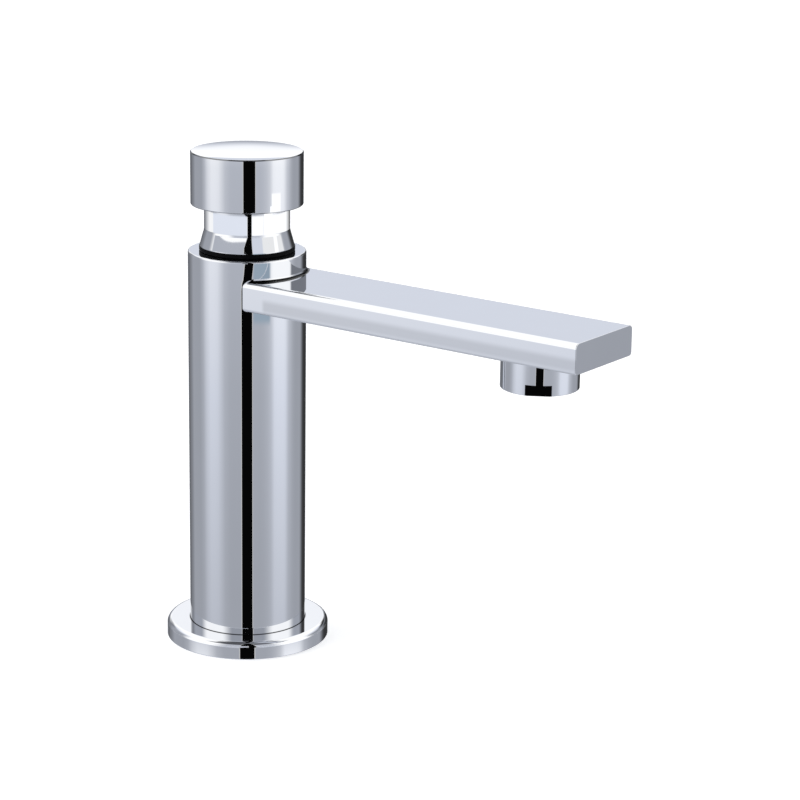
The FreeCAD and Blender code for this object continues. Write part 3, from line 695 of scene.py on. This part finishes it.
def by_azimuth(azimuth, levels):
    """Grey that changes with the azimuth in degrees, from (azimuth, level) stops."""
    stops = [((degrees + 180.0) / 360.0, grey(level)) for degrees, level in levels]
    place = (azimuth + 180.0) * (1.0 / 360.0)
    return place.node("ValToRGB", {"stops": stops}, {0: place})


def flare_elevation(azimuth):
    """Elevation that the flare's cone mirrors at the height where its front turns dark. For a
    lean a of the cone, a view that comes down at v and a turn f round the axis it is
    asin(sin 2a cos v cos f - sin v cos 2a), and the mirrored azimuth is 2 f. Towards the sides
    the neck is farther away by a share of the distance, and v smaller."""
    lean = math.atan2(flare_radius - neck_radius, flare_height - flare_lip)
    level = box_mm("bonnet_ring")[1][2] + lens_rise
    radius = flare_radius - (lens_rise - flare_lip) * math.tan(lean)
    distance = math.hypot(camera_place[0], camera_place[1])
    view = math.atan2(camera_place[2] - level, distance - radius)
    share = radius * math.cos(view) ** 2 / distance
    fall = math.sin(view) * math.cos(2.0 * lean)
    swing = math.sin(2.0 * lean) * math.cos(view) - share * fall
    sine = (azimuth * math.radians(0.5)).maths("COSINE") * swing - fall * (1.0 - share)
    return sine.maths("ARCSINE") * math.degrees(1.0)


def world_angles(place):
    """Azimuth from the camera's side, positive to the right, and elevation of a direction, both
    in degrees."""
    toward_camera = math.degrees(math.atan2(camera_place[1], camera_place[0]))
    turned_place = place.node("Mapping", {"vector_type": "POINT"},
                              {"Vector": place, "Rotation": (0.0, 0.0, -math.radians(toward_camera))})
    split = turned_place.node("SeparateXYZ", {}, {0: turned_place})
    x, y, z = (Wire(place.tree, split.socket.node.outputs[index]) for index in range(3))
    return y.maths("ARCTAN2", x) * math.degrees(1.0), z.maths("ARCSINE") * math.degrees(1.0)


def studio_panels(azimuth, elevation):
    """Grey panels in front, a white softbox at each side, greyer wings beyond them with a dark
    edge, and a pale wall behind with a band across it."""
    aside = abs(azimuth)
    front = by_height(elevation, front_levels)
    studio = aside.rise(*wing_edge).blend(front, by_height(elevation, wing_levels))
    studio = by_azimuth(azimuth, softbox_shares).blend(studio, by_height(elevation, softbox_levels))
    studio = aside.rise(*back_edge).blend(studio, by_height(elevation, back_levels))
    band = aside.rise(*back_band_edge) * elevation.within(*back_band)
    studio = band.blend(studio, cool(back_band_level))
    dark_edge = by_azimuth(azimuth, dark_edge_shares) * (1.0 - elevation.rise(*dark_edge_top))
    return dark_edge.blend(studio, grey(dark_edge_level))


def overhead_panels(studio, azimuth, elevation, flare_gap):
    """Panels in front of the tap and above it: the grey that the lens on the flare mirrors, the
    darker panel over it and the dark one overhead."""
    aside = abs(azimuth)
    inner = 1.0 - aside.rise(*inner_edge)
    lens = inner * elevation.rise(*lens_foot) * flare_gap.rise(*lens_gap)
    studio = lens.blend(studio, cool(lens_level))
    studio = (inner * elevation.rise(*above_edge)).blend(studio, by_height(elevation, above_levels))
    overhead = (1.0 - aside.rise(*overhead_side)) * elevation.rise(*overhead_edge)
    overhead = elevation.rise(*zenith_edge).maths("MAXIMUM", overhead)
    return overhead.blend(studio, cool(overhead_level))


def side_panels(studio, azimuth, elevation, flare_gap):
    """Small panels that the flare mirrors to the left and right, that the column mirrors beside
    the bar's root, and at the end of the wing on the right."""
    bright = azimuth.within(*bright_sides) * elevation.within(*bright_band)
    studio = bright.blend(studio, grey(bright_level))
    left = flare_gap.within(*left_gap) * azimuth.within(*left_sides)
    studio = left.blend(studio, cool(left_level))
    right = flare_gap.within(*right_gap) * (1.0 - elevation.within(*right_pause))
    studio = (right * azimuth.within(*right_sides)).blend(studio, grey(right_level))
    studio = (right * azimuth.within(*right_grey_sides)).blend(studio, cool(right_grey_level))
    root_bands = elevation.within(*root_low_band) + elevation.within(*root_high_band)
    studio = (azimuth.within(*root_sides) * root_bands).blend(studio, root_colour)
    wing_end = azimuth.within(*wing_end_sides) * elevation.within(*wing_end_band)
    return wing_end.blend(studio, cool(wing_end_level))


def neck_strip(studio, azimuth, elevation):
    """Thin bright strip at the level that the straight neck mirrors. It bends up by a share of the azimuth
    squared, is bluish on the left and white on the right, and has a short glint above it."""
    colour = azimuth.rise(*strip_middle).blend(strip_blue, grey(strip_white))
    colour = azimuth.rise(*strip_far_left).blend(grey(strip_far_level), colour)
    level = elevation - strip_bend * azimuth * azimuth
    strip = level.within(*strip_band) * by_azimuth(azimuth, strip_shares)
    studio = strip.blend(studio, colour)
    glint = azimuth.within(*glint_sides) * level.within(*glint_band)
    return glint.blend(studio, grey(strip_white))


def studio_world():
    """Pale studio round the tap, as polished metal mirrors it. The camera itself sees plain white."""
    world = bpy.data.worlds.new("pale_studio")
    world.use_nodes = True
    tree = world.node_tree
    tree.nodes.clear()
    place = Wire(tree).node("TexCoord", {}, {}, "Generated")
    azimuth, elevation = world_angles(place)
    flare_gap = flare_elevation(azimuth) - elevation
    studio = studio_panels(azimuth, elevation)
    studio = overhead_panels(studio, azimuth, elevation, flare_gap)
    studio = side_panels(studio, azimuth, elevation, flare_gap)
    studio = neck_strip(studio, azimuth, elevation)
    seen = place.node("LightPath", {}, {}, "Is Camera Ray")
    lit = {"Color": seen.blend(studio, grey(1.0)), "Strength": 1.0}
    background = seen.node("Background", {}, lit)
    background.node("OutputWorld", {}, {"Surface": background}, None)
    bpy.context.scene.world = world


def new_material(name):
    """Material with one Principled shader; gives the material, a wire to start from and the shader."""
    material = bpy.data.materials.new(name)
    material.use_nodes = True
    tree = material.node_tree
    tree.nodes.clear()
    start = Wire(tree)
    shader = start.node("BsdfPrincipled", {}, {})
    shader.node("OutputMaterial", {}, {"Surface": shader}, None)
    return material, start, shader.socket.node


def feed(shader, inputs):
    """Sets or links the inputs of a shader."""
    for name, value in inputs.items():
        if isinstance(value, Wire):
            value.tree.links.new(value.socket, shader.inputs[name])
        else:
            shader.inputs[name].default_value = value


def pattern(start, scale, detail=2.0, stretch=(1.0, 1.0, 1.0)):
    """Noise from 0 to 1 over the piece, in features per metre, stretched along an axis by a
    small factor."""
    place = start.node("TexCoord", {}, {}, "Object")
    place = place.node("Mapping", {}, {"Vector": place, "Scale": stretch})
    return place.node("TexNoise", {}, {"Vector": place, "Scale": scale, "Detail": detail})


def relief(height, depth, strength=1.0):
    """Surface normal of a height pattern whose range is a depth in metres."""
    return height.node("Bump", {}, {"Strength": strength, "Distance": depth, "Height": height})


def joint_lines_and_painted_shade(start):
    """Thin dark lines where plated pieces meet: the column on its flange and the bar on the
    column. Painted on as well: a painted dark reflection line round the bevel of the button's rim,
    painted shade along its lower edge, and a faint painted shade on the lower half of the bar's
    sides. Each line is a ring of radii and levels, in metres."""
    place = start.node("TexCoord", {}, {}, "Object")
    split = place.node("SeparateXYZ", {}, {0: place})
    x, y, z = (Wire(start.tree, split.socket.node.outputs[index]) for index in range(3))
    radius = (x * x + y * y).maths("SQRT")
    flange_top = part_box("base_flange")[1][2]
    bar_low, bar_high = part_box("spout")
    bore, column = foot_recess_radius * MM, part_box("body_column")[1][0]
    button_low, button_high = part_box("button_cap")
    rim = button_high[0]
    soft = line_softness * MM
    foot = radius.within(column - foot_seam * MM, bore + foot_seam * MM, soft)
    foot = foot * z.within(flange_top - foot_seam * MM, flange_top + foot_seam * MM, soft)
    root = radius.within(column + root_line_start * MM, column + root_fillet * MM, soft)
    root = root * z.within(bar_high[2] - line_reach * MM, bar_high[2] + root_line * MM, soft)
    # Painted dark reflection line round the bevel of the button's rim, not a joint.
    edge = radius.rise(rim - button_edge_bevel * MM, soft)
    edge = edge * z.rise(button_high[2] - (button_edge_bevel + line_reach) * MM, soft)
    # Painted shade along the button's rounded lower edge.
    lower = radius.rise(rim - button_foot_round * MM, soft)
    lower = lower * z.within(button_low[2] - line_reach * MM, button_low[2] + painted_lower_shade_height * MM, soft)
    # Painted shade: the bar's sides are darker on their lower half.
    side = abs(y).rise(bar_high[1] - side_shade_inset * MM, side_shade_softness * MM)
    side = side * x.rise(column, side_shade_root_softness * MM)
    bar_middle = (bar_low[2] + bar_high[2]) / 2.0
    side = side * z.within(bar_low[2] + side_shade_foot * MM, bar_middle, side_shade_foot * MM)
    lines = root.maths("MAXIMUM", foot * foot_strength).maths("MAXIMUM", edge * painted_rim_line_strength)
    return lines.maths("MAXIMUM", lower * painted_lower_shade_strength).maths("MAXIMUM", side * painted_side_shade_strength)


def chrome_finish():
    """Polished chrome plating: a hair of waviness, haze that varies a little, dark lines at the
    joints, and painted shade and a painted dark reflection line on the button and the bar."""
    material, start, shader = new_material("polished_chrome")
    cloud = pattern(start, scale=90.0, detail=3.0)
    fine = pattern(start, scale=2600.0)
    plate = cloud.blend((0.855, 0.865, 0.885, 1.0), (0.875, 0.885, 0.905, 1.0))
    # The joint lines and the painted shade darken the plate's colour towards black.
    feed(shader, {"Metallic": 1.0, "Base Color": joint_lines_and_painted_shade(start).blend(plate, grey(0.01)),
                  "Roughness": 0.006 + 0.006 * cloud + 0.004 * fine,
                  "Normal": relief(cloud, depth=0.0000002)})
    return material


def turned_metal(name, low, high, roughness):
    """Bare machined metal: fine turning rings up the piece, with patches of tarnish."""
    material, start, shader = new_material(name)
    rings = pattern(start, scale=900.0, detail=3.0, stretch=(0.03, 0.03, 1.0))
    patches = pattern(start, scale=120.0, detail=3.0)
    tone = 0.6 * patches + 0.4 * rings
    feed(shader, {"Metallic": 1.0, "Base Color": tone.blend(low, high),
                  "Roughness": roughness + 0.14 * rings + 0.08 * patches,
                  "Normal": relief(rings, depth=0.00003, strength=0.6)})
    return material


def rubber_finish():
    """Dull black rubber with a fine grain."""
    material, start, shader = new_material("black_rubber")
    grain = pattern(start, scale=4200.0)
    cloud = pattern(start, scale=160.0)
    feed(shader, {"Base Color": cloud.blend((0.0015, 0.0015, 0.002, 1.0), (0.0035, 0.0035, 0.004, 1.0)),
                  "Roughness": 0.40 + 0.14 * grain, "Specular IOR Level": 0.05,
                  "Normal": relief(grain, depth=0.00002, strength=0.5)})
    return material


def plastic_finish():
    """White moulded acetal, slightly translucent in look, with soft flow marks."""
    material, start, shader = new_material("white_acetal")
    flow = pattern(start, scale=240.0, detail=3.0, stretch=(1.0, 1.0, 0.3))
    grain = pattern(start, scale=3800.0)
    feed(shader, {"Base Color": flow.blend((0.78, 0.78, 0.755, 1.0), (0.85, 0.85, 0.83, 1.0)),
                  "Roughness": 0.38 + 0.14 * grain,
                  "Normal": relief(grain, depth=0.000012, strength=0.5)})
    return material


def fibre_finish():
    """Pressed red fibre with short flecks."""
    material, start, shader = new_material("red_fibre")
    flecks = pattern(start, scale=2200.0, detail=4.0, stretch=(1.0, 0.35, 1.0)).rise(0.52, 0.12)
    feed(shader, {"Base Color": flecks.blend((0.36, 0.115, 0.07, 1.0), (0.52, 0.19, 0.12, 1.0)),
                  "Roughness": 0.72 + 0.12 * flecks,
                  "Normal": relief(flecks, depth=0.00003, strength=0.6)})
    return material


def dress_nodes():
    """Gives every node of the frame the finish of its own material slot."""
    for part in frame["record"]["subparts"]:
        mesh = frame["nodes"][part["node"]].data
        mesh.materials.clear()
        mesh.materials.append(finish_of[part["material_slot"]])


def finished(piece, body, slot, *nodes):
    """Hands a piece to its body and its material slot, in place of the nodes it stands for."""
    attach(piece, body)
    if nodes:
        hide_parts(*nodes)
    piece.data.materials.append(finish_of[slot])
    return piece


def card(name, places, material, shown_to_eye=False):
    """Flat or bent studio card from a strip of points in millimetres, two rows by columns.
    Unless shown to the eye it is seen in reflections only and casts no shadow."""
    columns = places.shape[1]
    near = np.arange(columns - 1)
    faces = np.stack([near, near + 1, near + 1 + columns, near + columns], -1)
    mesh = bpy.data.meshes.new(name)
    mesh.from_pydata((places.reshape(-1, 3) * MM).tolist(), [], faces.tolist(), shade_flat=False)
    mesh.materials.append(material)
    sheet = bpy.data.objects.new(name, mesh)
    bpy.context.scene.collection.objects.link(sheet)
    if not shown_to_eye:
        sheet.visible_camera = False
        sheet.visible_diffuse = False
        sheet.visible_shadow = False
        sheet.visible_transmission = False
    return sheet


def glow(name, colour):
    """Evenly lit card material of a plain level."""
    material = bpy.data.materials.new(name)
    material.use_nodes = True
    material.node_tree.nodes.clear()
    start = Wire(material.node_tree)
    lit = start.node("Emission", {}, {"Color": colour, "Strength": 1.0})
    lit.node("OutputMaterial", {}, {"Surface": lit}, None)
    return material


def floor_piece():
    """Pale floor. It takes the soft shadow, and a little light of its own towards the camera
    makes it white."""
    material = bpy.data.materials.new("pale_floor")
    material.use_nodes = True
    material.node_tree.nodes.clear()
    start = Wire(material.node_tree)
    paper = start.node("BsdfDiffuse", {}, {"Color": grey(floor_level)})
    seen = start.node("LightPath", {}, {}, "Is Camera Ray")
    lift = start.node("Emission", {}, {"Color": seen.blend(grey(0.0), grey(1.0)), "Strength": floor_lift})
    both = start.node("AddShader", {}, {0: paper, 1: lift})
    both.node("OutputMaterial", {}, {"Surface": both}, None)
    reach = floor_reach
    corners = np.array([[[-reach, -reach, 0.0], [reach, -reach, 0.0]],
                        [[-reach, reach, 0.0], [reach, reach, 0.0]]])
    sheet = card("floor", corners, material, shown_to_eye=True)
    sheet.visible_glossy = False


def camera_flag():
    """Tall black card in the camera's plane, square to the line from the column to the camera.
    It is the dark stripe down the middle of every round surface, and what a surface at level z
    mirrors is at level 2 z - (the camera's level)."""
    place = np.array([camera_place[0], camera_place[1]])
    toward = place / np.linalg.norm(place)
    right = np.array([-toward[1], toward[0]])
    level, left, far = np.array(flag_sides).T
    for name, first, last, shade in (("camera_flag", left, far, flag_level),
                                     ("flag_border_left", left - flag_border, left, flag_border_level),
                                     ("flag_border_right", far, far + flag_border, flag_border_level)):
        edges = [np.column_stack([place + right * reach[:, None], level]) for reach in (first, last)]
        card(name, np.array(edges), glow(name + "_shade", grey(shade)))


def soft_lamp():
    """Large soft lamp above and to the left, for the shadow on the floor. Metal mirrors the
    studio instead."""
    light = bpy.data.lights.new("soft_lamp", "AREA")
    light.energy = lamp_power
    light.size = lamp_size
    lamp = bpy.data.objects.new("soft_lamp", light)
    bpy.context.scene.collection.objects.link(lamp)
    aim = np.array(lamp_place)
    back = aim / np.linalg.norm(aim)
    right = np.cross([0.0, 0.0, 1.0], back)
    right /= np.linalg.norm(right)
    lamp.matrix_world = placed(right, np.cross(back, right), back, np.array(lamp_place) * MM)
    lamp.visible_glossy = False
    lamp.visible_camera = False


def placed(right, up, back, place):
    """Matrix of a camera or lamp from its axes and its place in metres."""
    matrix = np.eye(4)
    matrix[:3, 0] = right
    matrix[:3, 1] = up
    matrix[:3, 2] = back
    matrix[:3, 3] = place
    return Matrix(matrix.tolist())


def photo_camera():
    """Camera at the photograph's viewing angle. Its axes are turned by the azimuth, pitch and roll."""
    azimuth, pitch, roll = (math.radians(angle) for angle in (camera_azimuth, camera_pitch, camera_roll))
    right = np.array([math.cos(azimuth), math.sin(azimuth), 0.0])
    ahead = math.cos(pitch)
    back = np.array([math.sin(azimuth) * ahead, -math.cos(azimuth) * ahead, math.sin(pitch)])
    up = np.cross(back, right)
    tilted_right = math.cos(roll) * right + math.sin(roll) * up
    tilted_up = math.cos(roll) * up - math.sin(roll) * right
    lens = bpy.data.cameras.new("photo_camera")
    lens.lens = camera_lens
    lens.sensor_width = camera_sensor
    lens.clip_start = camera_clip
    camera = bpy.data.objects.new("photo_camera", lens)
    camera.matrix_world = placed(tilted_right, tilted_up, back, np.array(camera_place) * MM)
    bpy.context.scene.collection.objects.link(camera)
    bpy.context.scene.camera = camera


finish_of = {
    "chrome_trim": chrome_finish(),
    "raw_brass": turned_metal("machined_brass", (0.62, 0.46, 0.20, 1.0), (0.80, 0.64, 0.34, 1.0), 0.20),
    "stainless": turned_metal("drawn_steel", (0.50, 0.50, 0.51, 1.0), (0.68, 0.68, 0.69, 1.0), 0.24),
    "black_rubber": rubber_finish(),
    "white_plastic": plastic_finish(),
    "fibre_seal": fibre_finish(),
}

dress_nodes()
finished(column_piece(), "tap", "chrome_trim", "body_column")
finished(flange_piece(), "tap", "chrome_trim", "base_flange")
finished(spout_piece(), "tap", "chrome_trim", "spout")
finished(root_fillet_piece(), "tap", "chrome_trim")
finished(collar_piece(), "tap", "chrome_trim", "aerator_housing")
finished(neck_piece(), "tap", "chrome_trim", "bonnet")
finished(ring_piece(), "tap", "black_rubber", "bonnet_ring")
finished(button_piece(), "button", "chrome_trim", "button_cap")
lower_half, upper_half = spring_halves()
finished(lower_half, "tap", "stainless", "return_spring")
finished(upper_half, "button", "stainless")

studio_world()
camera_flag()
floor_piece()
soft_lamp()
photo_camera()
bpy.context.scene.view_settings.view_transform = "Standard"
